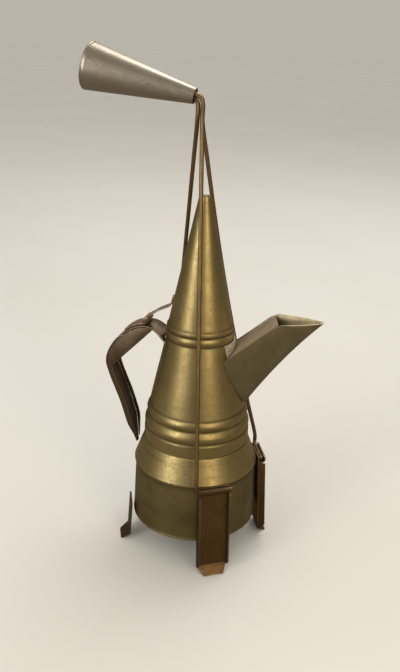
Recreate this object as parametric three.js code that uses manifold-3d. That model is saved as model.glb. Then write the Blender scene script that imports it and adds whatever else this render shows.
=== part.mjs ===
// Brass spirit vessel with a hinged conical lid, a pouring spout, a strap handle,
// three wire-carrying legs, a short fourth foot and a lift-off wire bail with a hollow cone grip.
// Millimetres, +Z up, spout towards +X, handle towards -X.

import * as THREE from 'three';
import { mergeVertices } from 'three/addons/utils/BufferGeometryUtils.js';
import Module from 'manifold-3d';

const wasm = await Module();
wasm.setup();

// Driving dimensions. Heights are measured from the seam between the cone and the base band.
const seamRadius = 46;
const sheet = 1.0;
const gap = 0.3;

const bandRadius = 45.4;
const bandFlare = 1.3;
const bandBottom = -44;
const groundLevel = -67.5;

const collarTop = { z: 105, r: 23.8 };
const collarBottom = { z: 99, r: 24.1 };
const beadTop = { z: 47.1, r: 35.3 };
const beadGroove = { z: 39.3, r: 36.0 };
const beadBottom = { z: 30.5, r: 38.0 };
const skirtTop = { z: 20.1, r: 38.8 };
const beadSwell = 1.5;
const collarSwell = 0.9;

const lidTip = { z: 199.3, r: 4.05 };
const spigotHeight = 3.2;
const wickRadius = 2.3;
const wickTubeLength = 40;
const wickHang = 12;

const handleHalfWidth = 9.2;
const handleSheet = 1.2;
const cheekSheet = 0.9;
const pin = { x: -39.5, z: 106.9, r: 1.1, halfLength: 6.9 };
const knuckleRadius = 2.1;
const knuckleBore = 1.19;
const centreKnuckle = 2.1;
const leafHalfWidth = 6.4;
const armHalfWidth = 4;

const legSheet = 1.2;
const legHalfWidth = 11.6;
const legFlangeDepth = 4.6;
const legFold = -62.8;
const footLength = 8.6;
const legSplay = THREE.MathUtils.degToRad(3.2);
const footSlope = THREE.MathUtils.degToRad(41);
const footTipHalfWidth = 7.2;
const legAngles = { front: -58.2, right: 25, back: 117, left: -156 };
const shortFoot = { top: -35, halfWidth: 8.6 };

const wireRadius = 1.5;
const cradleBore = wireRadius + gap;
const cradleLip = 1.8;
const cradleRadius = seamRadius + gap + legSheet + cradleBore;
const wireReach = legHalfWidth + wireRadius + gap;

const grip = { x: -9.2, z: 262.2, narrow: 5.06, wide: 15.7, length: 74.5, tilt: 11.8, wall: 0.8 };

const roundSteps = 48;

// ---------------------------------------------------------------- geometry helpers

// One closed body: shared vertices merged, flat triangles dropped, faces turned outwards.
function closed(geometry) {
  geometry.deleteAttribute('normal');
  geometry.deleteAttribute('uv');
  const merged = mergeVertices(geometry, 1e-4);
  const place = merged.getAttribute('position');
  const index = merged.getIndex().array;
  const kept = [];
  let volume = 0;
  const a = new THREE.Vector3();
  const b = new THREE.Vector3();
  const c = new THREE.Vector3();
  for (let i = 0; i < index.length; i += 3) {
    const [p, q, r] = [index[i], index[i + 1], index[i + 2]];
    if (p === q || q === r || r === p) continue;
    kept.push(p, q, r);
    a.fromBufferAttribute(place, p);
    b.fromBufferAttribute(place, q);
    c.fromBufferAttribute(place, r);
    volume += a.dot(b.cross(c));
  }
  if (volume < 0) kept.reverse();
  merged.setIndex(kept);
  return merged;
}

function toManifold(geometry) {
  const tidy = closed(geometry);
  return new wasm.Manifold(new wasm.Mesh({
    numProp: 3,
    vertProperties: new Float32Array(tidy.getAttribute('position').array),
    triVerts: new Uint32Array(tidy.getIndex().array),
  }));
}

function fromManifold(solid) {
  const mesh = solid.getMesh();
  const geometry = new THREE.BufferGeometry();
  geometry.setAttribute('position', new THREE.BufferAttribute(new Float32Array(mesh.vertProperties), 3));
  geometry.setIndex(Array.from(mesh.triVerts));
  return geometry;
}

function join(...geometries) {
  return fromManifold(geometries.map(toManifold).reduce((sum, next) => sum.add(next)));
}

function cut(geometry, ...tools) {
  const solid = toManifold(geometry);
  return fromManifold(tools.map(toManifold).reduce((rest, tool) => rest.subtract(tool), solid));
}

function common(geometry, tool) {
  return fromManifold(toManifold(geometry).intersect(toManifold(tool)));
}

// A solid of revolution about Z from [radius, height] points.
function turned(points, steps = roundSteps) {
  const profile = points.map(([r, z]) => new THREE.Vector2(r, z));
  return new THREE.LatheGeometry(profile, steps).rotateX(Math.PI / 2);
}

// A sheet of revolution: the outside line, and the same line moved in by the sheet's thickness.
function turnedSheet(outside, thickness = sheet) {
  const inside = outside.map(([r, z]) => [r - thickness, z]).reverse();
  return turned([...outside, ...inside, outside[0]]);
}

// An outline of [x, z] points, widened along Y and centred on y = 0.
function slab(outline, width) {
  const shape = new THREE.Shape(outline.map(([x, z]) => new THREE.Vector2(x, z)));
  const geometry = new THREE.ExtrudeGeometry(shape, { depth: width, bevelEnabled: false });
  return geometry.translate(0, 0, -width / 2).rotateX(Math.PI / 2);
}

function block(x0, x1, y0, y1, z0, z1) {
  return new THREE.BoxGeometry(x1 - x0, y1 - y0, z1 - z0)
    .translate((x0 + x1) / 2, (y0 + y1) / 2, (z0 + z1) / 2);
}

// Points on a circle in the XZ plane, from one angle to another, in degrees.
function arc(x, z, radius, from, to, steps) {
  const points = [];
  for (let i = 0; i <= steps; i += 1) {
    const angle = THREE.MathUtils.degToRad(from + (to - from) * i / steps);
    points.push([x + radius * Math.cos(angle), z + radius * Math.sin(angle)]);
  }
  return points;
}

// Skins a row of closed loops and fills both ends.
function lofted(loops) {
  const count = loops[0].length;
  const places = loops.flat().flatMap((p) => [p.x, p.y, p.z]);
  const index = [];
  for (let i = 0; i < loops.length - 1; i += 1) {
    for (let j = 0; j < count; j += 1) {
      const a = i * count + j;
      const b = i * count + (j + 1) % count;
      index.push(a, b, a + count, b, b + count, a + count);
    }
  }
  const last = (loops.length - 1) * count;
  for (let j = 1; j < count - 1; j += 1) {
    index.push(0, j + 1, j);
    index.push(last, last + j, last + j + 1);
  }
  const geometry = new THREE.BufferGeometry();
  geometry.setAttribute('position', new THREE.Float32BufferAttribute(places, 3));
  geometry.setIndex(index);
  return geometry;
}

// A strip of sheet along a line of {x, z, half} stations, half being half its width along Y.
function strip(stations, thickness) {
  const loops = stations.map((station, i) => {
    const before = stations[Math.max(i - 1, 0)];
    const after = stations[Math.min(i + 1, stations.length - 1)];
    const along = new THREE.Vector2(after.x - before.x, after.z - before.z).normalize();
    const nx = -along.y * thickness / 2;
    const nz = along.x * thickness / 2;
    return [[1, -1], [1, 1], [-1, 1], [-1, -1]].map(([side, edge]) => new THREE.Vector3(
      station.x + side * nx, edge * station.half, station.z + side * nz));
  });
  return lofted(loops);
}

// A round rod along hand-placed points, with the same number of steps between each pair.
class RodPath extends THREE.Curve {
  constructor(points) {
    super();
    this.spline = new THREE.CatmullRomCurve3(points, false, 'centripetal');
  }

  getPoint(t, target) {
    return this.spline.getPoint(t, target);
  }

  getPointAt(t, target) {
    return this.getPoint(t, target);
  }

  getTangentAt(t, target) {
    return this.getTangent(t, target);
  }
}

function rod(points, radius, stepsEach) {
  const section = new THREE.Shape();
  const sides = 8;
  for (let i = 0; i < sides; i += 1) {
    const angle = (i + 0.5) * 2 * Math.PI / sides;
    const place = [radius * Math.cos(angle), radius * Math.sin(angle)];
    if (i === 0) section.moveTo(...place);
    else section.lineTo(...place);
  }
  const steps = (points.length - 1) * stepsEach;
  return new THREE.ExtrudeGeometry(section, { steps, extrudePath: new RodPath(points), bevelEnabled: false });
}

// A straight round bar or tube along Y.
function barAlongY(radius, y0, y1, x, z, steps = 20) {
  return new THREE.CylinderGeometry(radius, radius, y1 - y0, steps).translate(x, (y0 + y1) / 2, z);
}

// ---------------------------------------------------------------- materials and assembly

const finishes = {
  body: { color: 0xb0904e, metalness: 1, roughness: 0.34 },
  band: { color: 0x8a7138, metalness: 1, roughness: 0.42 },
  leg: { color: 0x9a7c58, metalness: 1, roughness: 0.5 },
  wire: { color: 0xa08760, metalness: 1, roughness: 0.45 },
  grip: { color: 0x9c8d72, metalness: 1, roughness: 0.36 },
  spout: { color: 0x9f8c5c, metalness: 1, roughness: 0.4 },
  wick: { color: 0xd8d0bc, metalness: 0, roughness: 0.95 },
};

const burner = new THREE.Group();

function add(name, finish, geometry, parent = burner) {
  const mesh = new THREE.Mesh(closed(geometry), new THREE.MeshStandardMaterial(finishes[finish]));
  mesh.name = name;
  parent.add(mesh);
}

// ---------------------------------------------------------------- vessel

// A rounded bead between two grooves of the spun cone.
function bead(upper, lower, swell, steps) {
  const points = [];
  for (let i = 1; i <= steps; i += 1) {
    const t = i / steps;
    const r = upper.r + (lower.r - upper.r) * t + swell * Math.sin(Math.PI * t);
    points.push([r, upper.z + (lower.z - upper.z) * t]);
  }
  return points;
}

function coneOutline() {
  return [
    [collarTop.r, collarTop.z],
    ...bead(collarTop, collarBottom, collarSwell, 4),
    [beadTop.r, beadTop.z],
    ...bead(beadTop, beadGroove, beadSwell, 5),
    ...bead(beadGroove, beadBottom, beadSwell, 5),
    [beadBottom.r + 0.7, beadBottom.z - 2],
    [skirtTop.r, skirtTop.z],
    [seamRadius, gap + 1],
    [seamRadius, gap],
  ];
}

// The straight part of the cone, grown by a clearance, as a cutting tool for what is soldered on it.
function coneClearance(extra) {
  const widening = (beadTop.r - collarBottom.r) / (collarBottom.z - beadTop.z);
  const low = beadGroove.z;
  const high = collarTop.z + 7;
  return turned([
    [0, low],
    [collarBottom.r + (collarBottom.z - low) * widening + extra, low],
    [collarBottom.r + extra, collarBottom.z],
    [collarBottom.r + collarSwell + extra, collarBottom.z + 2],
    [collarBottom.r + collarSwell + extra, high],
    [0, high],
  ]);
}

function vesselCone() {
  return cut(turnedSheet(coneOutline()), spoutLoft({ inset: 3, drop: 3, start: 0, end: 0.35 }));
}

function baseBand() {
  return turnedSheet([
    [bandRadius, 0],
    [bandRadius - 0.4, -2.5],
    [bandRadius + bandFlare - 0.3, bandBottom + 1.2],
    [bandRadius + bandFlare, bandBottom],
  ]);
}

function baseDisc() {
  const edge = bandRadius + bandFlare - 0.9 - sheet - gap;
  return turned([
    [0, bandBottom + 2], [edge, bandBottom + 2], [edge, bandBottom + 6], [edge - sheet, bandBottom + 6],
    [edge - sheet, bandBottom + 2 + sheet], [0, bandBottom + 2 + sheet],
  ]);
}

function neckSpigot() {
  const outer = collarTop.r - sheet - gap - 0.4;
  return turnedSheet([[outer - 0.6, collarTop.z + spigotHeight], [outer, collarTop.z - 5]]);
}

// ---------------------------------------------------------------- spout

const spoutRoot = { x: 21.6, z: 89.3, half: 15.6 };
const spoutKnee = { x: 54.3, z: 118.4, half: 8.3 };
const spoutTip = { x: 86.6, z: 120.4, half: 1.4 };
const mouthSwell = 1.6;
const kneeSkew = 3;
const spoutLean = THREE.MathUtils.degToRad(7);
const keelRoot = { x: 35.8, z: 51.8 };
const keelSlope = 1.64;
const kneeShare = 0.55;

function onTopEdge(u) {
  const [from, to, t] = u < kneeShare
    ? [spoutRoot, spoutKnee, u / kneeShare]
    : [spoutKnee, spoutTip, (u - kneeShare) / (1 - kneeShare)];
  const swell = u < kneeShare ? 0 : mouthSwell * Math.sin(Math.PI * t);
  const half = from.half + (to.half - from.half) * t + swell;
  return {
    x: from.x + (to.x - from.x) * t,
    z: from.z + (to.z - from.z) * t,
    half,
    skew: -kneeSkew * (u < kneeShare ? t : 1 - t),
    lean: half * Math.tan(spoutLean),
  };
}

// The keel leaves the vessel steeply and flattens towards the tip.
function onKeel(u) {
  const run = spoutTip.x - 0.6 - keelRoot.x;
  const rise = spoutTip.z - 1.2 - keelRoot.z;
  const bend = (keelSlope * run - rise) / (run * run);
  const x = run * u;
  return { x: keelRoot.x + x, z: keelRoot.z + keelSlope * x - bend * x * x };
}

// One cross-section of the spout, between a V and a half ellipse, closed along its top.
// Its far top edge is raised and set back, and its near one is lowered and brought forward.
function spoutSection(u, inset, drop, raise) {
  const top = onTopEdge(u);
  const keel = onKeel(u);
  const half = Math.max(top.half - inset, 0.15);
  const depth = Math.hypot(top.x - keel.x, top.z - keel.z);
  const lift = Math.min(inset * 1.25 / Math.max(depth, 1), 0.7);
  const points = [];
  const steps = 12;
  for (let i = 0; i <= steps; i += 1) {
    const angle = Math.PI * (i / steps - 0.5);
    const around = Math.abs(angle) * 2 / Math.PI;
    const side = 0.5 * Math.sin(angle) + 0.5 * Math.sign(angle) * around;
    const up = lift + (1 - lift) * (0.5 * (1 - Math.cos(angle)) + 0.5 * around);
    points.push(new THREE.Vector3(
      keel.x + (top.x + top.skew * side - keel.x) * up,
      half * side,
      keel.z + (top.z + top.lean * side - keel.z - drop) * up));
  }
  if (raise > 0) {
    const [first, last] = [points[0], points[steps]];
    points.push(new THREE.Vector3(last.x, last.y, last.z + raise));
    points.push(new THREE.Vector3(first.x, first.y, first.z + raise));
  }
  return points;
}

function spoutLoft({ inset = 0, drop = 0, raise = 0, start = 0, end = 1 }) {
  const loops = [];
  const steps = 12;
  const inward = new THREE.Vector3(-12, 0, -6);
  loops.push(spoutSection(start, inset, drop, raise).map((p) => p.add(inward)));
  for (let i = 0; i <= steps; i += 1) {
    const u = start + (end - start) * i / steps;
    loops.push(spoutSection(u, inset, drop, raise));
  }
  return lofted(loops);
}

function spoutTrough() {
  return cut(spoutLoft({}), spoutLoft({ inset: sheet, raise: 6, end: 0.97 }), coneClearance(gap));
}

// The sheet that closes the trough up to the knee, just below its two edges.
function spoutCover() {
  const inside = sheet + gap + 0.75;
  const below = 0.3;
  const steps = 4;
  const loops = [];
  for (let i = 0; i <= steps; i += 1) {
    const top = onTopEdge(kneeShare * 0.999 * i / steps);
    const share = (top.half - inside) / top.half;
    loops.push([[-1, 0], [1, 0], [1, 1], [-1, 1]].map(([side, layer]) => new THREE.Vector3(
      top.x + top.skew * side * share,
      top.half * side * share,
      top.z + top.lean * side * share - below - sheet * 1.3 * layer)));
  }
  return cut(lofted(loops), coneClearance(gap));
}

// A narrow collar of sheet on the vessel, just above the cover.
function spoutFlange() {
  const climb = Math.atan2(spoutKnee.z - spoutRoot.z, spoutKnee.x - spoutRoot.x);
  const ring = cut(coneClearance(gap + 0.8), coneClearance(gap));
  const wedge = block(15, 40, -12.4, 12.4, 80, collarBottom.z - 0.5);
  const underCover = block(-60, 60, -30, 30, -60, 0)
    .translate(0, 0, 0.3)
    .rotateX(spoutLean)
    .rotateY(-climb)
    .translate(spoutRoot.x, 0, spoutRoot.z);
  return cut(common(ring, wedge), underCover);
}

// ---------------------------------------------------------------- handle and hinge

// The handle's centre line in the XZ plane, from inside the neck round to the seam.
const handleLine = new THREE.SplineCurve([
  [-17.5, 92.5], [-26, 97.5], [-33, 102], [-40, 103.1], [-50, 99.6], [-62, 88.8],
  [-68.3, 74.6], [-65.6, 62], [-57, 40.5], [-49.8, 17], [-46.9, 4.6],
].map(([x, z]) => new THREE.Vector2(x, z)));
const handleSteps = 40;

function handleHalf(point) {
  const flare = THREE.MathUtils.smoothstep(point.x, -31, -20) * 4.6;
  const taper = THREE.MathUtils.smoothstep(point.y, 3, 26);
  return point.x > -40 ? handleHalfWidth + flare : 1.6 + (handleHalfWidth - 1.6) * taper;
}

function handleStrap() {
  const stations = handleLine.getSpacedPoints(handleSteps)
    .map((p) => ({ x: p.x, z: p.y, half: handleHalf(p) }));
  return cut(strip(stations, handleSheet), coneClearance(gap));
}

// A point beside the handle's centre line, measured towards the vessel.
function besideHandle(u, inward) {
  const point = handleLine.getPointAt(u);
  const along = handleLine.getTangentAt(u);
  return [point.x + along.y * -inward, point.y + along.x * inward];
}

// The cheek under the strap's edge: a straight chord across the bend, then a narrow flange that
// follows the strap's taper down to the vessel.
function handleCheek(side) {
  const [from, bendEnd, to] = [0.13, 0.53, 0.975];
  const clearance = handleSheet / 2 + gap;
  const flangeDepth = 2.6;
  const chordStart = besideHandle(from, clearance + 0.8);
  const chordEnd = besideHandle(bendEnd, clearance + flangeDepth);
  const steps = 32;
  const loops = [];
  for (let i = 0; i <= steps; i += 1) {
    const u = from + (to - from) * i / steps;
    const outer = besideHandle(u, clearance);
    const share = (u - from) / (bendEnd - from);
    const inner = share < 1
      ? chordStart.map((place, axis) => place + (chordEnd[axis] - place) * share)
      : besideHandle(u, clearance + 0.8 + (flangeDepth - 0.8) * Math.min(1, (to - u) / 0.1));
    const edge = side * handleHalf(handleLine.getPointAt(Math.max(u, 0.34)));
    const inside = edge - side * cheekSheet;
    loops.push([[outer, edge], [outer, inside], [inner, inside], [inner, edge]]
      .map(([[x, z], y]) => new THREE.Vector3(x, y, z)));
  }
  return lofted(loops);
}

function knuckleTube(y0, y1) {
  return barAlongY(knuckleRadius, y0, y1, pin.x, pin.z);
}

function pinBore() {
  return barAlongY(knuckleBore, -10, 10, pin.x, pin.z);
}

// The leaf lies on top of the handle strap and ends in two knuckles beside the arm's.
function hingeLeaf() {
  const aboveStrap = handleSheet / 2 + gap + sheet / 2;
  const stations = [];
  const [from, to] = [0.175, 0.295];
  const steps = 6;
  for (let i = 0; i <= steps; i += 1) {
    const [x, z] = besideHandle(from + (to - from) * i / steps, -aboveStrap);
    stations.push({ x, z, half: leafHalfWidth - 1.4 * (i / steps) ** 3 });
  }
  const slot = centreKnuckle + gap;
  const clearArm = block(pin.x - 3.2, pin.x + 6, -slot, slot, pin.z - 6, pin.z + 6);
  const knuckles = knuckleTube(-leafHalfWidth, leafHalfWidth);
  return cut(join(strip(stations, sheet), knuckles), clearArm, pinBore());
}

function hingePin() {
  const shank = barAlongY(pin.r, -pin.halfLength, pin.halfLength, pin.x, pin.z, 16);
  const heads = [-1, 1].map((side) => {
    const inner = side * (leafHalfWidth + gap);
    const outer = side * (leafHalfWidth + gap + 0.8);
    return barAlongY(1.7, Math.min(inner, outer), Math.max(inner, outer), pin.x, pin.z, 16);
  });
  return join(shank, ...heads);
}

// ---------------------------------------------------------------- lid

const lidSlope = (collarTop.r - lidTip.r) / (lidTip.z - collarTop.z);

function lidRadius(z) {
  return collarTop.r - (z - collarTop.z) * lidSlope;
}

function lidCone() {
  const rim = collarTop.z + gap;
  return turnedSheet([
    [lidTip.r, lidTip.z],
    [lidRadius(rim + 4), rim + 4],
    [lidRadius(rim) + 0.2, rim + 2.2],
    [lidRadius(rim) + 0.2, rim + 0.4],
    [lidRadius(rim), rim],
  ], 0.9);
}

// The arm climbs from its knuckle to the lid, then runs on up the lid as a pointed tab.
function lidArm() {
  const half = sheet / 2;
  const climb = THREE.MathUtils.degToRad(34.8);
  const [cos, sin] = [Math.cos(climb), Math.sin(climb)];
  const besideKnuckle = knuckleRadius - half;
  const start = { x: pin.x - sin * besideKnuckle, z: pin.z + cos * besideKnuckle };
  const reach = (t) => ({ x: start.x + cos * t, z: start.z + sin * t });
  const tabAt = (z) => lidRadius(z) + gap + half + 0.1;
  const stations = [
    { ...reach(0), half: centreKnuckle },
    { ...reach(3.1), half: centreKnuckle },
    { ...reach(3.7), half: armHalfWidth },
    { ...reach(12), half: armHalfWidth },
    { x: -tabAt(119.6) - 0.9, z: 119.2, half: armHalfWidth },
    { x: -tabAt(121), z: 121, half: armHalfWidth },
    { x: -tabAt(123), z: 123, half: 3.2 },
    { x: -tabAt(127), z: 127, half: 0.7 },
  ];
  return cut(join(strip(stations, sheet), knuckleTube(-centreKnuckle, centreKnuckle)), pinBore());
}

function wickTube() {
  const outer = wickRadius + gap + 0.5;
  return turned([
    [outer, lidTip.z - 3], [outer, lidTip.z - wickTubeLength],
    [outer - 0.5, lidTip.z - wickTubeLength], [outer - 0.5, lidTip.z - 3], [outer, lidTip.z - 3],
  ], 24);
}

function wickWasher() {
  const z = lidTip.z - wickTubeLength + 6;
  const inner = wickRadius + 2 * gap + 0.5;
  const outer = lidRadius(z) - 0.9 - gap - 0.2;
  return turned([[inner, z], [outer, z], [outer, z + 1], [inner, z + 1], [inner, z]], 24);
}

function wick() {
  const low = collarTop.z - wickHang;
  return turned([
    [0, low], [wickRadius, low], [wickRadius, lidTip.z - 0.8], [wickRadius - 0.5, lidTip.z + 0.2],
    [0, lidTip.z + 0.4],
  ], 16);
}

// ---------------------------------------------------------------- legs

// Each leg is drawn in the plane y = 0 facing +X and then turned to its place.
function footPlate(half, tipHalf) {
  const shape = new THREE.Shape([
    new THREE.Vector2(-0.4, half), new THREE.Vector2(footLength, tipHalf),
    new THREE.Vector2(footLength, -tipHalf), new THREE.Vector2(-0.4, -half),
  ]);
  return new THREE.ExtrudeGeometry(shape, { depth: legSheet, bevelEnabled: false })
    .rotateY(footSlope)
    .translate(seamRadius + gap, 0, legFold);
}

function legWeb(half, top) {
  return block(seamRadius + gap, seamRadius + gap + legSheet, -half, half, legFold, top);
}

function legFlange(side, top, bottom) {
  const inner = legHalfWidth - legSheet;
  const face = seamRadius + gap;
  const outline = [
    [face, top], [face + legSheet + legFlangeDepth, top - 1.5],
    [face + legSheet + legFlangeDepth, bottom + 3], [face + legSheet + 1.6, bottom], [face, bottom],
  ];
  return slab(outline, legSheet).translate(0, side * (inner + legSheet / 2), 0);
}

// The open-topped roll at the head of a leg, in which the bent end of a wire lies.
function legCradle() {
  const outer = cradleBore + legSheet;
  return slab([
    [cradleRadius - outer, cradleLip],
    [cradleRadius - outer, -outer],
    ...arc(cradleRadius, 0, outer, 233, 360, 9),
    [cradleRadius + outer, cradleLip],
    [cradleRadius + cradleBore, cradleLip],
    ...arc(cradleRadius, 0, cradleBore, 360, 180, 10),
    [cradleRadius - cradleBore, cradleLip],
  ], 2 * legHalfWidth);
}

function floorTrim() {
  return block(0, 100, -40, 40, groundLevel - 30, groundLevel);
}

// Leans a leg's sheet out from the foot of the cone.
function splayed(geometry) {
  const face = seamRadius + gap;
  return geometry.translate(-face, 0, 0).rotateY(-legSplay).translate(face, 0, 0);
}

function wireLeg() {
  const flanges = [-1, 1].map((side) => legFlange(side, -cradleBore - legSheet, legFold));
  const web = legWeb(legHalfWidth, 0);
  const sheetWork = splayed(join(web, footPlate(legHalfWidth, footTipHalfWidth), ...flanges));
  return cut(join(sheetWork, legCradle()), floorTrim());
}

function bandFoot() {
  const { top, halfWidth } = shortFoot;
  return cut(splayed(join(legWeb(halfWidth, top), footPlate(halfWidth, halfWidth * 0.7))), floorTrim());
}

function addTurned(name, finish, geometry, degrees) {
  add(name, finish, geometry.rotateZ(THREE.MathUtils.degToRad(degrees)));
}

// ---------------------------------------------------------------- bail

const gripTilt = THREE.MathUtils.degToRad(grip.tilt);

// A place in the grip cone: distance along its axis, sideways, and at right angles to both.
function inGrip(along, sideways, up) {
  return new THREE.Vector3(
    grip.x - along * Math.cos(gripTilt) + up * Math.sin(gripTilt),
    sideways,
    grip.z + along * Math.sin(gripTilt) + up * Math.cos(gripTilt));
}

// Where each wire lies in the bundle: neckY and neckUp in the cone's neck, x and y where it hangs down.
// The tail is how far its end stands out of the cradle: the right wire's ends inside, to pass the spout.
// The bow is how far its middle stands off a straight line; the back wire bows clear of the opening lid.
const bundle = {
  front: { neckY: -1.75, neckUp: 1.1, x: -3.4, y: -1.9, bend: 4, side: -1, tail: 1.8, bow: [0, 0] },
  right: { neckY: 1.75, neckUp: 1.1, x: -4.5, y: 1.9, bend: 4, side: 1, tail: -1.5, bow: [-4.2, 2.3] },
  back: { neckY: 0, neckUp: -2, x: -7.2, y: 0, bend: 2.6, side: 1, tail: 1.8, bow: [-2.7, 10.6] },
};
const wireDepthInGrip = 12;
const wireRuns = 9;

// The bend from the cone's neck to straight down, round the corner where the two lines meet.
function neckBend(place) {
  const toCorner = (grip.x + place.neckUp * Math.sin(gripTilt) - place.x) / Math.cos(gripTilt);
  const corner = inGrip(toCorner, (place.neckY + place.y) / 2, place.neckUp);
  const alongNeck = new THREE.Vector3(-Math.cos(gripTilt), 0, Math.sin(gripTilt));
  const down = new THREE.Vector3(0, 0, -1);
  const cornerCut = 0.3;
  return [
    corner.clone().addScaledVector(alongNeck, place.bend).setY(place.neckY),
    corner.clone().addScaledVector(alongNeck.clone().add(down), place.bend * cornerCut),
    corner.clone().addScaledVector(down, place.bend),
  ];
}

// From the cone's neck, over the bend, down in a slight bow, and along through the leg's cradle.
function wire(name) {
  const place = bundle[name];
  const turn = THREE.MathUtils.degToRad(legAngles[name]);
  const outward = new THREE.Vector3(Math.cos(turn), Math.sin(turn), 0);
  const sideways = new THREE.Vector3(-Math.sin(turn), Math.cos(turn), 0);
  const reach = place.side * wireReach;
  const inCradle = (along, z) => outward.clone().multiplyScalar(cradleRadius)
    .addScaledVector(sideways, along).setZ(z);
  const top = new THREE.Vector3(place.x, place.y, grip.z - 14);
  const foot = inCradle(reach, 7);
  const bow = new THREE.Vector3(...place.bow, 0);
  const points = [inGrip(wireDepthInGrip, place.neckY, place.neckUp), ...neckBend(place), top];
  for (let i = 1; i < wireRuns; i += 1) {
    const t = i / wireRuns;
    points.push(top.clone().lerp(foot, t).addScaledVector(bow, Math.sin(Math.PI * t)));
  }
  points.push(foot);
  points.push(inCradle(reach, 3));
  points.push(inCradle(reach - place.side * 0.9, 0.9));
  points.push(inCradle(reach - place.side * 3, 0));
  points.push(inCradle(0, 0));
  points.push(inCradle(-place.side * (legHalfWidth + place.tail), 0));
  return rod(points, wireRadius, 2);
}

// The hollow cone is open at its wide end, where its rim is slightly rolled.
function gripCone() {
  const mouth = grip.wide - 0.3;
  const cone = turned([
    [grip.narrow, 0], [mouth, grip.length - 1.5], [grip.wide, grip.length - 0.8],
    [mouth, grip.length], [mouth - grip.wall, grip.length],
    [grip.narrow - grip.wall, 0], [grip.narrow, 0],
  ], 32);
  return cone.rotateY(-Math.PI / 2 + gripTilt).translate(grip.x, 0, grip.z);
}

// The solder plug that the wire ends run up to, inside the neck of the cone.
function gripPlug() {
  const start = wireDepthInGrip + gap;
  const end = start + 5;
  const inner = (z) => grip.narrow - grip.wall - gap + (grip.wide - grip.narrow) * z / grip.length;
  const plug = turned([[0, start], [inner(start), start], [inner(end), end], [0, end]], 20);
  return plug.rotateY(-Math.PI / 2 + gripTilt).translate(grip.x, 0, grip.z);
}

// ---------------------------------------------------------------- the whole object

add('vessel_cone', 'body', vesselCone());
add('base_band', 'band', baseBand());
add('base_disc', 'band', baseDisc());
add('neck_spigot', 'body', neckSpigot());
add('spout_trough', 'spout', spoutTrough());
add('spout_cover', 'spout', spoutCover());
add('spout_flange', 'spout', spoutFlange());
add('handle_strap', 'leg', handleStrap());
add('handle_cheek_near', 'leg', handleCheek(-1));
add('handle_cheek_far', 'leg', handleCheek(1));
add('hinge_leaf', 'leg', hingeLeaf());
add('hinge_pin', 'wire', hingePin());
add('lid_cone', 'body', lidCone());
add('lid_arm', 'leg', lidArm());
add('wick_tube', 'body', wickTube());
add('wick_washer', 'body', wickWasher());
add('wick', 'wick', wick());
for (const name of ['front', 'right', 'back']) {
  addTurned(`leg_${name}`, 'leg', wireLeg(), legAngles[name]);
  add(`wire_${name}`, 'wire', wire(name));
}
addTurned('foot_left', 'leg', bandFoot(), legAngles.left);
add('grip_cone', 'grip', gripCone());
add('grip_plug', 'grip', gripPlug());

// The origin is the centre of the bounding box's base, so the feet stand on z = 0.
const bounds = new THREE.Box3().setFromObject(burner, true);
const centre = bounds.getCenter(new THREE.Vector3());
burner.position.set(-centre.x, -centre.y, -bounds.min.z);
burner.updateMatrixWorld(true);

export default burner;
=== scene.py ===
import math

import bmesh
import bpy
from mathutils import Matrix, Vector, noise

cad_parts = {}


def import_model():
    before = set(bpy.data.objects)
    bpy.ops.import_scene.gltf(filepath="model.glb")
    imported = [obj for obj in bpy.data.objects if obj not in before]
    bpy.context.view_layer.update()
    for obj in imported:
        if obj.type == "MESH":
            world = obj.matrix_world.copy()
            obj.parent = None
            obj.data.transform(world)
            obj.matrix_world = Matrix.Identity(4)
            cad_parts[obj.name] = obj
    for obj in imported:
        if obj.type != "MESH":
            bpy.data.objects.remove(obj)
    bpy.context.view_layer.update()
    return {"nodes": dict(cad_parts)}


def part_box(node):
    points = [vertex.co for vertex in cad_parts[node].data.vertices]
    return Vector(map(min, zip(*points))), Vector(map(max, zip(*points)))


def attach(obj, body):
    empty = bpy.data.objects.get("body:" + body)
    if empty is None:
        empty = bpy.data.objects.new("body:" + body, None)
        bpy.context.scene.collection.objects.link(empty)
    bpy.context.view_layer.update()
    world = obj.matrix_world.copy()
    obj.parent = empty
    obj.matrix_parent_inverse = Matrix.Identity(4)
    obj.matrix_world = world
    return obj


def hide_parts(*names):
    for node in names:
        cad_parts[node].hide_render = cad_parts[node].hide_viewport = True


# A hand-made brass spirit vessel: spun cone and band, hinged conical lid, beak spout, strap handle,
# sheet feet, and a bail of three rods ending in a hollow cone grip.
# Lengths are in millimetres from the vessel's axis and from the seam between cone and band.

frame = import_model()

low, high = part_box("vessel_cone")
AXIS_X = (low.x + high.x) / 2
AXIS_Y = (low.y + high.y) / 2
SEAM_Z = low.z - 0.0003


def place(x, y, z):
    """A point given in millimetres from the axis and the seam, in the frame's metres."""
    return Vector((AXIS_X + x / 1000, AXIS_Y + y / 1000, SEAM_Z + z / 1000))


WICK_RADIUS, WICK_BOTTOM, WICK_TOP, BURNT_LENGTH = 2.1, 93, 199.5, 4

# ---------------------------------------------------------------- materials


PIT_SCALE, PIT_CLUSTER_SCALE, DENT_SCALE = 260, 120, 75
WORN_EDGE = 0.0009


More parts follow.
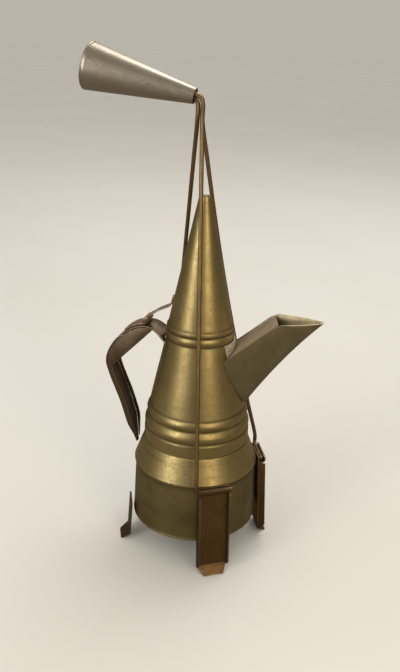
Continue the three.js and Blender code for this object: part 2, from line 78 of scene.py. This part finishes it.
class Nodes:
    """A material's node tree, with short calls for the nodes that these metals share."""

    def __init__(self, name):
        self.material = bpy.data.materials.new(name)
        self.material.use_nodes = True
        self.tree = self.material.node_tree
        self.shader = self.tree.nodes["Principled BSDF"]
        self.object_place = self.new("ShaderNodeTexCoord").outputs["Object"]

    def new(self, kind, **settings):
        node = self.tree.nodes.new(kind)
        for key, value in settings.items():
            setattr(node, key, value)
        return node

    def link(self, source, target):
        self.tree.links.new(source, target)

    def stretched(self, sx, sy, sz, turn=(0, 0, 0)):
        """The object's coordinates, turned and scaled along each axis."""
        mapping = self.new("ShaderNodeMapping")
        mapping.inputs["Scale"].default_value = (sx, sy, sz)
        mapping.inputs["Rotation"].default_value = turn
        self.link(self.object_place, mapping.inputs["Vector"])
        return mapping.outputs["Vector"]

    def noise(self, vector, scale, detail=4.0, roughness=0.55):
        node = self.new("ShaderNodeTexNoise")
        node.inputs["Scale"].default_value = scale
        node.inputs["Detail"].default_value = detail
        node.inputs["Roughness"].default_value = roughness
        self.link(vector, node.inputs["Vector"])
        return node.outputs["Fac"]

    def ramp(self, value, start, end, low=0.0, high=1.0):
        """The value spread over low to high, between two limits."""
        node = self.new("ShaderNodeMapRange", clamp=True)
        node.inputs["From Min"].default_value = start
        node.inputs["From Max"].default_value = end
        node.inputs["To Min"].default_value = low
        node.inputs["To Max"].default_value = high
        self.link(value, node.inputs["Value"])
        return node.outputs["Result"]

    def math(self, operation, a, b):
        node = self.new("ShaderNodeMath", operation=operation)
        for socket, value in zip(node.inputs, (a, b)):
            if isinstance(value, (int, float)):
                socket.default_value = value
            else:
                self.link(value, socket)
        return node.outputs["Value"]

    def mix(self, factor, a, b):
        node = self.new("ShaderNodeMix", data_type="RGBA")
        if isinstance(factor, (int, float)):
            node.inputs["Factor"].default_value = factor
        else:
            self.link(factor, node.inputs["Factor"])
        for name, value in (("A", a), ("B", b)):
            socket = [s for s in node.inputs if s.name == name and s.type == "RGBA"][0]
            if isinstance(value, tuple):
                socket.default_value = (*value, 1)
            else:
                self.link(value, socket)
        return [s for s in node.outputs if s.type == "RGBA"][0]

    def bump(self, height, distance, strength=1.0, normal=None):
        node = self.new("ShaderNodeBump")
        node.inputs["Distance"].default_value = distance
        node.inputs["Strength"].default_value = strength
        self.link(height, node.inputs["Height"])
        if normal is not None:
            self.link(normal, node.inputs["Normal"])
        return node.outputs["Normal"]

    def edges(self, radius, samples=4):
        """How far the surface turns within a radius: near 1 along edges and folds."""
        bevel = self.new("ShaderNodeBevel", samples=samples)
        bevel.inputs["Radius"].default_value = radius
        geometry = self.new("ShaderNodeNewGeometry")
        dot = self.new("ShaderNodeVectorMath", operation="DOT_PRODUCT")
        self.link(bevel.outputs["Normal"], dot.inputs[0])
        self.link(geometry.outputs["Normal"], dot.inputs[1])
        return self.ramp(dot.outputs["Value"], 0.995, 0.86)

    def lit_from_above(self):
        """1 on faces that look upwards, such as the inside of an open trough: the mask of a painted light
        from above.
        """
        facing = self.new("ShaderNodeSeparateXYZ")
        self.link(self.new("ShaderNodeTexCoord").outputs["Normal"], facing.inputs["Vector"])
        return self.ramp(facing.outputs["Z"], 0.05, 0.2)

    def grime(self):
        node = self.new("ShaderNodeAttribute", attribute_name="grime")
        return node.outputs["Fac"]


def aged_metal(name, base, warm, tarnish, grain, roughness, wear=0.35, pits=0.35, patch=38, turned=None,
               metallic=1.0, inside=None, edge=0.06):
    """Brass with patches of colour, fine grain, pits, darker hollows and brighter edges.

    grain is the scale of the brushing along X, Y and Z; turned adds the lines of a spun surface.
    inside is a painted light: a paler colour laid on the faces that look upwards, as if lit from above;
    edge lightens the worn corners."""
    n = Nodes(name)
    plain = n.object_place
    patches = n.noise(plain, patch, 5, 0.6)
    mottle = n.noise(plain, patch * 9, 6, 0.7)
    brushed = n.noise(n.stretched(*grain), 1.0, 3, 0.6)
    colour = n.mix(n.ramp(patches, 0.36, 0.66), base, warm)
    # Painted light: the faces that look upwards take the paler inside colour, as if lit from above.
    if inside:
        colour = n.mix(n.lit_from_above(), colour, inside)
    colour = n.mix(n.ramp(mottle, 0.5, 0.8, 0, 0.4), colour, tarnish)
    colour = n.mix(n.ramp(brushed, 0.45, 0.75, 0, 0.22), colour, tarnish)
    height = n.math("MULTIPLY", brushed, 0.6)
    if turned:
        lines = n.noise(n.stretched(3, 3, turned), 1.0, 3, 0.7)
        height = n.math("ADD", height, lines)
        colour = n.mix(n.ramp(lines, 0.56, 0.76, 0, 0.3), colour, tarnish)
        scored = n.noise(n.stretched(14, 14, turned * 0.32), 1.0, 2, 0.5)
        colour = n.mix(n.ramp(scored, 0.66, 0.71, 0, 0.45), colour, tarnish)
    spots = n.new("ShaderNodeTexVoronoi", feature="F1")
    spots.inputs["Scale"].default_value = PIT_SCALE
    n.link(plain, spots.inputs["Vector"])
    pitted = n.math("MULTIPLY", n.ramp(spots.outputs["Distance"], 0.2, 0.1),
                    n.ramp(n.noise(plain, PIT_CLUSTER_SCALE, 3), 0.54, 0.66))
    dark = tuple(c * 0.4 for c in tarnish)
    colour = n.mix(n.math("MULTIPLY", pitted, pits), colour, dark)
    colour = n.mix(n.math("MULTIPLY", n.grime(), 0.85), colour, dark)
    bright = tuple(min(1.0, c * 1.35 + edge) for c in base)
    worn = n.math("MULTIPLY", n.edges(WORN_EDGE), n.ramp(mottle, 0.35, 0.6, 0.5, 1.0))
    colour = n.mix(n.math("MULTIPLY", worn, wear), colour, bright)
    n.link(colour, n.shader.inputs["Base Color"])
    rough = n.ramp(mottle, 0.3, 0.75, roughness - 0.07, roughness + 0.14)
    rough = n.math("ADD", rough, n.math("MULTIPLY", n.grime(), 0.22))
    n.link(rough, n.shader.inputs["Roughness"])
    normal = n.bump(height, 0.00003, 0.35)
    normal = n.bump(n.noise(plain, DENT_SCALE, 2), 0.0006, 0.22, normal)
    normal = n.bump(pitted, -0.00012, 0.5, normal)
    n.link(normal, n.shader.inputs["Normal"])
    n.shader.inputs["Metallic"].default_value = metallic
    return n.material


def wick_cotton():
    n = Nodes("wick_cotton")
    plait = n.new("ShaderNodeTexWave", wave_type="BANDS", bands_direction="DIAGONAL")
    plait.inputs["Scale"].default_value = 480
    plait.inputs["Distortion"].default_value = 1.5
    n.link(n.object_place, plait.inputs["Vector"])
    fibres = n.noise(n.stretched(1, 1, 0.25), 2600, 4)
    scorched = n.new("ShaderNodeSeparateXYZ")
    n.link(n.object_place, scorched.inputs["Vector"])
    tip = place(0, 0, WICK_TOP).z
    burnt = n.ramp(scorched.outputs["Z"], tip - BURNT_LENGTH / 1000, tip)
    colour = n.mix(n.ramp(plait.outputs["Fac"], 0, 1), (0.62, 0.57, 0.46), (0.82, 0.78, 0.68))
    colour = n.mix(n.ramp(fibres, 0.4, 0.7, 0, 0.5), colour, (0.5, 0.45, 0.36))
    colour = n.mix(n.math("MULTIPLY", burnt, 0.8), colour, (0.06, 0.05, 0.04))
    n.link(colour, n.shader.inputs["Base Color"])
    n.link(n.bump(plait.outputs["Fac"], 0.0003, 0.8), n.shader.inputs["Normal"])
    n.shader.inputs["Roughness"].default_value = 0.95
    n.shader.inputs["Sheen Weight"].default_value = 0.3
    return n.material


def solder_metal():
    n = Nodes("solder")
    lumps = n.noise(n.object_place, 420, 4, 0.6)
    colour = n.mix(n.ramp(lumps, 0.4, 0.65), (0.56, 0.51, 0.42), (0.38, 0.33, 0.24))
    n.link(colour, n.shader.inputs["Base Color"])
    n.link(n.ramp(lumps, 0.3, 0.7, 0.28, 0.5), n.shader.inputs["Roughness"])
    n.link(n.bump(lumps, 0.0006, 0.5), n.shader.inputs["Normal"])
    n.shader.inputs["Metallic"].default_value = 0.6
    return n.material


BODY = aged_metal("body_brass", (0.47, 0.37, 0.165), (0.41, 0.31, 0.135), (0.21, 0.17, 0.09),
                  (60, 60, 2600), 0.40, wear=0.3, pits=0.25, turned=1500)
# The band's brass is a darker copy of the body's: a painted dark reflection, standing in for the dark
# surroundings that its upright side mirrors.
BAND_PAINTED_REFLECTION = aged_metal("band_brass", (0.31, 0.25, 0.115), (0.21, 0.165, 0.07), (0.12, 0.095, 0.045),
                  (40, 40, 2200), 0.5, wear=0.3, pits=0.2, turned=1200)
# The spout's inside colour is a painted light: it makes the upward faces of the trough paler, as if lit
# from above.
SPOUT = aged_metal("spout_brass", (0.27, 0.225, 0.125), (0.215, 0.175, 0.095), (0.14, 0.11, 0.065),
                   (500, 1500, 500), 0.42, wear=1.0, patch=60, inside=(0.40, 0.33, 0.2), metallic=0.85)
COVER = aged_metal("cover_brass", (0.40, 0.31, 0.215), (0.33, 0.25, 0.16), (0.19, 0.11, 0.07),
                   (500, 1500, 500), 0.40, wear=0.6, patch=70, metallic=0.5)
LEG = aged_metal("leg_brass", (0.14, 0.088, 0.034), (0.195, 0.112, 0.048), (0.07, 0.045, 0.022),
                 (900, 900, 90), 0.42, wear=1.0, patch=55, edge=0.2)
HANDLE = aged_metal("handle_brass", (0.21, 0.155, 0.10), (0.15, 0.105, 0.06), (0.08, 0.055, 0.035),
                    (120, 1600, 120), 0.42, wear=1.0, patch=60, edge=0.12)
HINGE = aged_metal("hinge_brass", (0.38, 0.275, 0.20), (0.30, 0.20, 0.14), (0.15, 0.10, 0.07),
                   (400, 1200, 400), 0.40, wear=0.8, patch=70, metallic=0.75)
WIRE = aged_metal("wire_brass", (0.31, 0.205, 0.10), (0.235, 0.16, 0.08), (0.13, 0.09, 0.05),
                  (700, 700, 60), 0.40, wear=0.0, patch=70)
GRIP = aged_metal("grip_brass", (0.47, 0.425, 0.37), (0.46, 0.395, 0.30), (0.30, 0.255, 0.20),
                  (120, 700, 500), 0.36, wear=0.4, pits=0.2, patch=50)
WICK = wick_cotton()
SOLDER = solder_metal()

# ---------------------------------------------------------------- mesh helpers


def make(name, points, faces, body, material, replaces=(), sharp=35, grime=None):
    """A smooth-shaded piece from millimetre points, riding on a body and standing for CAD nodes."""
    mesh = bpy.data.meshes.new(name)
    mesh.from_pydata([place(*p) for p in points], [], faces)
    return finish_piece(name, mesh, body, material, replaces, sharp, grime)


def finish_piece(name, mesh, body, material, replaces=(), sharp=35, grime=None):
    work = bmesh.new()
    work.from_mesh(mesh)
    bmesh.ops.recalc_face_normals(work, faces=work.faces)
    work.to_mesh(mesh)
    work.free()
    for polygon in mesh.polygons:
        polygon.use_smooth = True
    mesh.set_sharp_from_angle(angle=math.radians(sharp))
    if grime:
        layer = mesh.attributes.new("grime", "FLOAT", "POINT")
        layer.data.foreach_set("value", grime)
    mesh.materials.append(material)
    piece = bpy.data.objects.new(name, mesh)
    bpy.context.scene.collection.objects.link(piece)
    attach(piece, body)
    if replaces:
        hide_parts(*replaces)
    return piece


def rings_to_faces(rings, around, closed_rows=True, caps=False):
    faces = []
    for i in range(rings if closed_rows else rings - 1):
        for j in range(around):
            a, b = i * around + j, i * around + (j + 1) % around
            c, d = ((i + 1) % rings) * around + (j + 1) % around, ((i + 1) % rings) * around + j
            faces.append((a, b, c, d))
    if caps:
        faces.append(tuple(range(around)))
        faces.append(tuple(range((rings - 1) * around, rings * around)))
    return faces


def wobble(x, y, z, amount, size=26):
    """A gentle hand-made unevenness, in millimetres."""
    return amount * noise.noise(Vector((x / size, y / size, z / size)))


def lathe(name, profile, body, material, replaces=(), steps=160, uneven=0.0, centre=None):
    """A closed sheet of revolution from (radius, height, grime) points."""
    points, dirt = [], []
    for r, z, g in profile:
        for j in range(steps):
            angle = 2 * math.pi * j / steps
            x, y = r * math.cos(angle), r * math.sin(angle)
            grown = 1 + (wobble(x, y, z, uneven) / max(r, 1) if uneven else 0)
            points.append((x * grown, y * grown, z))
            dirt.append(g)
    if centre:
        points = [centre(*p) for p in points]
    faces = rings_to_faces(len(profile), steps)
    return make(name, points, faces, body, material, replaces, 40, dirt)


def sheet_profile(outside, wall):
    """A sheet's closed outline: its outside line of (radius, height, grime), and back along the inside."""
    inside = [(r - wall, z, 0.55) for r, z, g in reversed(outside)]
    return outside + inside


def cad_piece(name, node, body, material, bevel=0.22, sharp=30, segments=2):
    """The CAD node's shape with its edges softened, as a piece of its own."""
    mesh = frame["nodes"][node].data.copy()
    mesh.materials.clear()
    for attribute in [a.name for a in mesh.attributes if a.name.startswith("custom_normal")]:
        mesh.attributes.remove(mesh.attributes[attribute])
    work = bmesh.new()
    work.from_mesh(mesh)
    bmesh.ops.remove_doubles(work, verts=work.verts, dist=2e-6)
    bmesh.ops.dissolve_limit(work, angle_limit=math.radians(1.0), verts=work.verts, edges=work.edges)
    if bevel:
        folds = [e for e in work.edges if len(e.link_faces) == 2
                 and e.calc_face_angle(0) > math.radians(sharp) and e.calc_length() > bevel / 1000]
        bmesh.ops.bevel(work, geom=folds, offset=bevel / 1000, segments=segments, profile=0.5,
                        affect="EDGES", clamp_overlap=True)
    work.to_mesh(mesh)
    work.free()
    return finish_piece(name, mesh, body, material, (node,), sharp)


# ---------------------------------------------------------------- vessel

SHEET = 1.0
COLLAR_SWELL, BEAD_SWELL = 0.85, 1.45
COLLAR_TOP, COLLAR_BOTTOM = (105.0, 23.8), (99.0, 24.1)
BEAD_TOP, BEAD_GROOVE, BEAD_BOTTOM = (47.1, 35.3), (39.3, 36.0), (30.5, 38.0)
BELOW_BEAD = (28.5, 38.7)
SKIRT_TOP, SKIRT_BOTTOM = (20.1, 38.8), (1.3, 46.0)
GROOVE_ABOVE, GROOVE_BELOW, GROOVE_DEPTH = 0.5, 0.3, 0.35
BAND_TOP, BAND_BOTTOM, BAND_RADIUS, BAND_FLARE = -2.5, -42.8, 45.0, 1.4


def bead(upper, lower, swell, steps, groove):
    """A rounded bead from one height to another, dirty where it meets its grooves."""
    line = []
    for i in range(1, steps + 1):
        t = i / steps
        z = upper[0] + (lower[0] - upper[0]) * t
        r = upper[1] + (lower[1] - upper[1]) * t + swell * math.sin(math.pi * t)
        line.append((r, z, groove * max(0.0, 1 - math.sin(math.pi * t) * 2.6)))
    return line


def cone_run(upper, lower, steps, dirt_top=0.0, dirt_bottom=0.0):
    """A straight run of the cone, with grime fading from each end."""
    line = []
    for i in range(1, steps + 1):
        t = i / steps
        z = upper[0] + (lower[0] - upper[0]) * t
        r = upper[1] + (lower[1] - upper[1]) * t
        near_top = max(0.0, 1 - (upper[0] - z) / 1.6) * dirt_top
        near_bottom = max(0.0, 1 - (z - lower[0]) / 1.6) * dirt_bottom
        line.append((r, z, max(near_top, near_bottom)))
    return line


def vessel_cone():
    line = [(COLLAR_TOP[1] - 0.3, COLLAR_TOP[0], 0.3), (COLLAR_TOP[1], COLLAR_TOP[0] - 0.25, 0.6)]
    line += bead((COLLAR_TOP[0] - 0.25, COLLAR_TOP[1]), COLLAR_BOTTOM, COLLAR_SWELL, 16, 1.0)
    line += cone_run(COLLAR_BOTTOM, BEAD_TOP, 60, 0.8, 0.9)
    line += bead(BEAD_TOP, BEAD_GROOVE, BEAD_SWELL, 16, 1.0)
    line += bead(BEAD_GROOVE, BEAD_BOTTOM, BEAD_SWELL, 16, 1.0)
    line += cone_run(BEAD_BOTTOM, BELOW_BEAD, 4, 0.9)
    line += cone_run(BELOW_BEAD, (SKIRT_TOP[0] + GROOVE_ABOVE, SKIRT_TOP[1] + 0.05), 16)
    line += [(SKIRT_TOP[1] - GROOVE_DEPTH, SKIRT_TOP[0] + 0.25, 1.0),
             (SKIRT_TOP[1] - 0.3, SKIRT_TOP[0] - 0.1, 1.0)]
    line += cone_run((SKIRT_TOP[0] - GROOVE_BELOW, SKIRT_TOP[1] + 0.1), SKIRT_BOTTOM, 26)
    line += [(46.0, 0.7, 0.3), (45.7, 0.32, 0.6)]
    lathe("spun_cone", sheet_profile(line, SHEET), "vessel", BODY, ("vessel_cone",),
          steps=192, uneven=0.16)


def base_band():
    rows = 24
    line = [(45.2, -0.05, 0.9), (45.4, -0.5, 0.6), (BAND_RADIUS, BAND_TOP, 0.2)]
    for i in range(1, rows):
        t = i / rows
        line.append((BAND_RADIUS + BAND_FLARE * t, BAND_TOP + (BAND_BOTTOM - BAND_TOP) * t, 0.0))
    line += [(46.4, -42.8, 0.0), (46.7, -43.2, 0.0), (46.68, -43.8, 0.1), (46.4, -44.0, 0.2)]
    # The band's darker brass is a painted dark reflection, not a different metal.
    lathe("base_band_sheet", sheet_profile(line, SHEET), "vessel", BAND_PAINTED_REFLECTION, ("base_band",),
          steps=192, uneven=0.18)


vessel_cone()
base_band()
cad_piece("base_disc_sheet", "base_disc", "vessel", BAND_PAINTED_REFLECTION, 0.2)
cad_piece("neck_spigot_ring", "neck_spigot", "vessel", BODY, 0.15)

# ---------------------------------------------------------------- lid and wick

LID_TIP = (199.3, 4.05)
LID_SHEET, LID_GAP, RIM_HEIGHT = 0.9, 0.3, 4
LID_SLOPE = (COLLAR_TOP[1] - LID_TIP[1]) / (LID_TIP[0] - COLLAR_TOP[0])


def lid_radius(z):
    return COLLAR_TOP[1] - (z - COLLAR_TOP[0]) * LID_SLOPE


def lid_cone():
    rim, rows = COLLAR_TOP[0] + LID_GAP, 89
    top = LID_TIP[0] - 0.3
    line = [(LID_TIP[1] - 0.25, LID_TIP[0], 0), (LID_TIP[1], top, 0)]
    for i in range(1, rows + 1):
        z = top + (rim + RIM_HEIGHT - top) * i / rows
        line.append((lid_radius(z), z, 0.75 * max(0.0, 1 - (z - rim - RIM_HEIGHT) / 1.2)))
    line += [(lid_radius(rim) + 0.08, rim + 3.0, 0.2), (lid_radius(rim) + 0.2, rim + 2.2, 0.0),
             (lid_radius(rim) + 0.22, rim + 1.4, 0.0), (lid_radius(rim) + 0.2, rim + 0.5, 0.4),
             (lid_radius(rim) - 0.1, rim + 0.05, 1.0)]
    lathe("lid_sheet", sheet_profile(line, LID_SHEET), "lid", BODY, ("lid_cone",),
          steps=160, uneven=0.12)


def wick():
    steps, rows = 24, 300
    points = []
    for i in range(rows):
        z = WICK_BOTTOM + (WICK_TOP - WICK_BOTTOM) * i / (rows - 1)
        for j in range(steps):
            angle = 2 * math.pi * j / steps
            twist = math.sin(3 * angle + z * 1.7) * math.sin(3 * angle - z * 1.7)
            r = WICK_RADIUS + 0.14 * twist - (0.35 if i == rows - 1 else 0)
            points.append((r * math.cos(angle), r * math.sin(angle), z))
    faces = rings_to_faces(rows, steps, False, True)
    make("wick_plait", points, faces, "lid", WICK, ("wick",), 60)


lid_cone()
wick()
cad_piece("wick_tube_sheet", "wick_tube", "lid", BODY, 0.12)
cad_piece("wick_washer_sheet", "wick_washer", "lid", BODY, 0.15)
cad_piece("lid_arm_strap", "lid_arm", "lid", HINGE, 0.2)

# ---------------------------------------------------------------- spout, handle and hinge

cad_piece("spout_trough_sheet", "spout_trough", "vessel", SPOUT, 0.18, 38)
cad_piece("spout_cover_sheet", "spout_cover", "vessel", COVER, 0.25)
cad_piece("spout_flange_sheet", "spout_flange", "vessel", SOLDER, 0.2)
cad_piece("handle_strap_sheet", "handle_strap", "vessel", HANDLE, 0.3)
cad_piece("handle_cheek_near_sheet", "handle_cheek_near", "vessel", HANDLE, 0.2)
cad_piece("handle_cheek_far_sheet", "handle_cheek_far", "vessel", HANDLE, 0.2)
cad_piece("hinge_leaf_sheet", "hinge_leaf", "vessel", HINGE, 0.2)
cad_piece("hinge_pin_rod", "hinge_pin", "vessel", WIRE, 0.15)

# ---------------------------------------------------------------- legs

for where in ("front", "right", "back"):
    cad_piece(f"leg_{where}_channel", f"leg_{where}", "vessel", LEG, 0.3)
cad_piece("foot_left_strip", "foot_left", "vessel", LEG, 0.3)

# ---------------------------------------------------------------- bail

GRIP_X, GRIP_Z, GRIP_NARROW, GRIP_WIDE, GRIP_LENGTH = -9.2, 262.2, 5.06, 15.7, 74.5
GRIP_SHEET, WIRE_RADIUS = 0.8, 1.46
TILT = math.radians(11.8)
LEG_ANGLES = {"front": -58.2, "right": 25.0, "back": 117.0}
CRADLE_RADIUS, LEG_HALF, REACH = 49.3, 11.6, 13.4
BUNDLE = {
    "front": dict(neck_y=-1.75, up=1.1, x=-3.4, y=-1.9, bend=4.0, side=-1, tail=1.8, bow=(0.0, 0.0)),
    "right": dict(neck_y=1.75, up=1.1, x=-4.5, y=1.9, bend=4.0, side=1, tail=-1.5, bow=(-4.2, 2.3)),
    "back": dict(neck_y=0.0, up=-2.0, x=-7.2, y=0.0, bend=2.6, side=1, tail=1.8, bow=(-2.7, 10.6)),
}


def in_grip(along, sideways, up):
    return Vector((GRIP_X - along * math.cos(TILT) + up * math.sin(TILT), sideways,
                   GRIP_Z + along * math.sin(TILT) + up * math.cos(TILT)))


def wire_points(name):
    """The same route as the CAD wire: out of the grip's neck, down, and through the leg's cradle."""
    p = BUNDLE[name]
    turn = math.radians(LEG_ANGLES[name])
    outward = Vector((math.cos(turn), math.sin(turn), 0))
    side = Vector((-math.sin(turn), math.cos(turn), 0))
    towards = p["side"]
    reach = towards * REACH

    def cradle(along, z):
        q = outward * CRADLE_RADIUS + side * along
        return Vector((q.x, q.y, z))

    to_corner = (GRIP_X + p["up"] * math.sin(TILT) - p["x"]) / math.cos(TILT)
    corner = in_grip(to_corner, (p["neck_y"] + p["y"]) / 2, p["up"])
    along_neck = Vector((-math.cos(TILT), 0, math.sin(TILT)))
    down = Vector((0, 0, -1))
    first = corner + along_neck * p["bend"]
    first.y = p["neck_y"]
    route = [in_grip(12, p["neck_y"], p["up"]), first,
             corner + (along_neck + down) * p["bend"] * 0.3, corner + down * p["bend"]]
    top, foot = Vector((p["x"], p["y"], GRIP_Z - 14)), cradle(reach, 7)
    route.append(top)
    for i in range(1, 9):
        t = i / 9
        route.append(top.lerp(foot, t) + Vector((*p["bow"], 0)) * math.sin(math.pi * t))
    route += [foot, cradle(reach, 3), cradle(reach - towards * 0.9, 0.9),
              cradle(reach - towards * 3, 0), cradle(0, 0), cradle(-towards * (LEG_HALF + p["tail"]), 0)]
    return route


def spline(points, each):
    """A centripetal Catmull-Rom curve through the points, with so many steps between each two."""
    ends = [points[0] * 2 - points[1], *points, points[-1] * 2 - points[-2]]
    line = []
    for i in range(1, len(ends) - 2):
        a, b, c, d = ends[i - 1:i + 3]
        ta, tb, tc = (max((q - p).length, 1e-6) ** 0.5 for p, q in ((a, b), (b, c), (c, d)))
        start = ((b - a) / ta - (c - a) / (ta + tb) + (c - b) / tb) * tb
        end = ((c - b) / tb - (d - b) / (tb + tc) + (d - c) / tc) * tb
        for k in range(each):
            t = k / each
            line.append(b * (2 * t**3 - 3 * t**2 + 1) + start * (t**3 - 2 * t**2 + t)
                        + c * (3 * t**2 - 2 * t**3) + end * (t**3 - t**2))
    line.append(points[-1])
    return line


def wire(name):
    line = spline(wire_points(name), 10)
    sides = 16
    points = []
    normal = (line[1] - line[0]).normalized().cross(Vector((0, 1, 0.3))).normalized()
    for i, p in enumerate(line):
        along = (line[min(i + 1, len(line) - 1)] - line[max(i - 1, 0)]).normalized()
        normal = (normal - along * normal.dot(along)).normalized()
        across = along.cross(normal)
        from_end = len(line) - 1 - i
        r = WIRE_RADIUS * (0.72 if from_end == 0 else 1.0)
        r += wobble(p.x, p.y, p.z, 0.03, 5)
        for j in range(sides):
            angle = 2 * math.pi * j / sides
            points.append(p + normal * (r * math.cos(angle)) + across * (r * math.sin(angle)))
    faces = rings_to_faces(len(line), sides, False, True)
    make(f"wire_{name}_rod", points, faces, "bail", WIRE, (f"wire_{name}",), 50)


def grip_cone():
    profile, rows = [], 60
    for i in range(rows + 1):
        t = i / rows
        r = GRIP_NARROW + (GRIP_WIDE - 0.3 - GRIP_NARROW) * t
        profile.append((r, (GRIP_LENGTH - 1.6) * t, 0.5 if i == 0 else 0))
    for angle in range(-60, 91, 30):
        a = math.radians(angle)
        profile.append((GRIP_WIDE - 0.75 + 0.68 * math.cos(a), GRIP_LENGTH - 0.75 + 0.72 * math.sin(a), 0))
    inside = [(r - GRIP_SHEET, z, 0.5) for r, z, g in reversed(profile[:rows + 1])]
    profile += [(GRIP_WIDE - 1.1, GRIP_LENGTH - 0.2, 0.2)] + inside

    def turn(x, y, z):
        return tuple(in_grip(z, y, x))

    lathe("grip_cone_sheet", profile, "bail", GRIP, ("grip_cone",), 128, 0.1, turn)


for where in BUNDLE:
    wire(where)
grip_cone()
cad_piece("grip_plug_solder", "grip_plug", "bail", SOLDER, 0.3)

# ---------------------------------------------------------------- floor, light and camera


def floor():
    mesh = bpy.data.meshes.new("floor")
    reach = 12.0
    corners = [(-reach, -reach, 0), (reach, -reach, 0), (reach, reach, 0), (-reach, reach, 0)]
    mesh.from_pydata(corners, [], [(0, 1, 2, 3)])
    n = Nodes("floor_paper")
    tone = n.noise(n.object_place, 3, 3)
    paper = n.mix(n.ramp(tone, 0.3, 0.7), (0.60, 0.58, 0.54), (0.63, 0.61, 0.575))
    mirrored = n.new("ShaderNodeLightPath").outputs["Is Glossy Ray"]
    n.link(n.mix(mirrored, paper, (0.16, 0.14, 0.11)), n.shader.inputs["Base Color"])
    n.shader.inputs["Roughness"].default_value = 0.8
    n.shader.inputs["Specular IOR Level"].default_value = 0.2
    mesh.materials.append(n.material)
    obj = bpy.data.objects.new("floor", mesh)
    bpy.context.scene.collection.objects.link(obj)


def world():
    """Pale where it is seen and where it lights; in the metal's reflections, dim except overhead."""
    studio = bpy.data.worlds.new("studio")
    studio.use_nodes = True
    tree = studio.node_tree
    pale = tree.nodes["Background"]
    pale.inputs["Color"].default_value = (0.86, 0.83, 0.77, 1)
    pale.inputs["Strength"].default_value = 0.95
    dim = tree.nodes.new("ShaderNodeBackground")
    dim.inputs["Color"].default_value = (0.5, 0.47, 0.4, 1)
    direction = tree.nodes.new("ShaderNodeTexCoord")
    height = tree.nodes.new("ShaderNodeSeparateXYZ")
    tree.links.new(direction.outputs["Generated"], height.inputs["Vector"])
    ceiling = tree.nodes.new("ShaderNodeMapRange")
    for socket, value in (("From Min", 0.1), ("From Max", 0.65), ("To Min", 0.24), ("To Max", 0.6)):
        ceiling.inputs[socket].default_value = value
    tree.links.new(height.outputs["Z"], ceiling.inputs["Value"])
    tree.links.new(ceiling.outputs["Result"], dim.inputs["Strength"])
    seen = tree.nodes.new("ShaderNodeBackground")
    seen.inputs["Color"].default_value = (0.486, 0.456, 0.398, 1)
    rays = tree.nodes.new("ShaderNodeLightPath")
    mirrored, shown = (tree.nodes.new("ShaderNodeMixShader") for _ in range(2))
    tree.links.new(rays.outputs["Is Glossy Ray"], mirrored.inputs["Fac"])
    tree.links.new(pale.outputs["Background"], mirrored.inputs[1])
    tree.links.new(dim.outputs["Background"], mirrored.inputs[2])
    tree.links.new(rays.outputs["Is Camera Ray"], shown.inputs["Fac"])
    tree.links.new(mirrored.outputs["Shader"], shown.inputs[1])
    tree.links.new(seen.outputs["Background"], shown.inputs[2])
    tree.links.new(shown.outputs["Shader"], tree.nodes["World Output"].inputs["Surface"])
    bpy.context.scene.world = studio


CAMERA_HEADING, CAMERA_PITCH, CAMERA_ROLL = math.radians(105), math.radians(22.03), math.radians(2.18)
CAMERA_DISTANCE, CAMERA_HEIGHT = 0.5042, 0.3024
LENS, SENSOR = 40.714, 36.0
LIGHT_AIM = 0.15


def softbox(name, side_degrees, distance, height, size, power, colour):
    """An area light round the object, at so many degrees to the right of the camera's side of it."""
    angle = CAMERA_HEADING + math.pi + math.radians(side_degrees)
    aim = Vector((AXIS_X, AXIS_Y, LIGHT_AIM))
    spot = Vector((AXIS_X + distance * math.cos(angle), AXIS_Y + distance * math.sin(angle), height))
    data = bpy.data.lights.new(name, "AREA")
    data.shape, data.size, data.size_y = "RECTANGLE", size[0], size[1]
    data.energy, data.color = power, colour
    obj = bpy.data.objects.new(name, data)
    obj.location = spot
    obj.rotation_euler = (aim - spot).to_track_quat("-Z", "Y").to_euler()
    bpy.context.scene.collection.objects.link(obj)


def camera():
    ahead = Vector((math.cos(CAMERA_HEADING), math.sin(CAMERA_HEADING), 0))
    forward = ahead * math.cos(CAMERA_PITCH) - Vector((0, 0, math.sin(CAMERA_PITCH)))
    level = Vector((ahead.y, -ahead.x, 0))
    above = level.cross(forward)
    right = level * math.cos(CAMERA_ROLL) + above * math.sin(CAMERA_ROLL)
    up = above * math.cos(CAMERA_ROLL) - level * math.sin(CAMERA_ROLL)
    data = bpy.data.cameras.new("camera")
    data.lens, data.sensor_width = LENS, SENSOR
    obj = bpy.data.objects.new("camera", data)
    spot = Vector((AXIS_X, AXIS_Y, SEAM_Z + CAMERA_HEIGHT)) - ahead * CAMERA_DISTANCE
    turn = Matrix((right, up, -forward)).transposed().to_4x4()
    obj.matrix_world = Matrix.Translation(spot) @ turn
    bpy.context.scene.collection.objects.link(obj)
    bpy.context.scene.camera = obj


floor()
world()
softbox("key", -46, 1.1, 0.56, (0.36, 0.95), 5.2, (1.0, 0.97, 0.9))
softbox("warm", 30, 1.2, 0.62, (0.5, 1.0), 4.6, (1.0, 0.86, 0.62))
softbox("top", 150, 0.9, 1.5, (1.0, 1.0), 12, (1.0, 0.98, 0.95))
camera()

bpy.context.scene.view_settings.view_transform = "Standard"
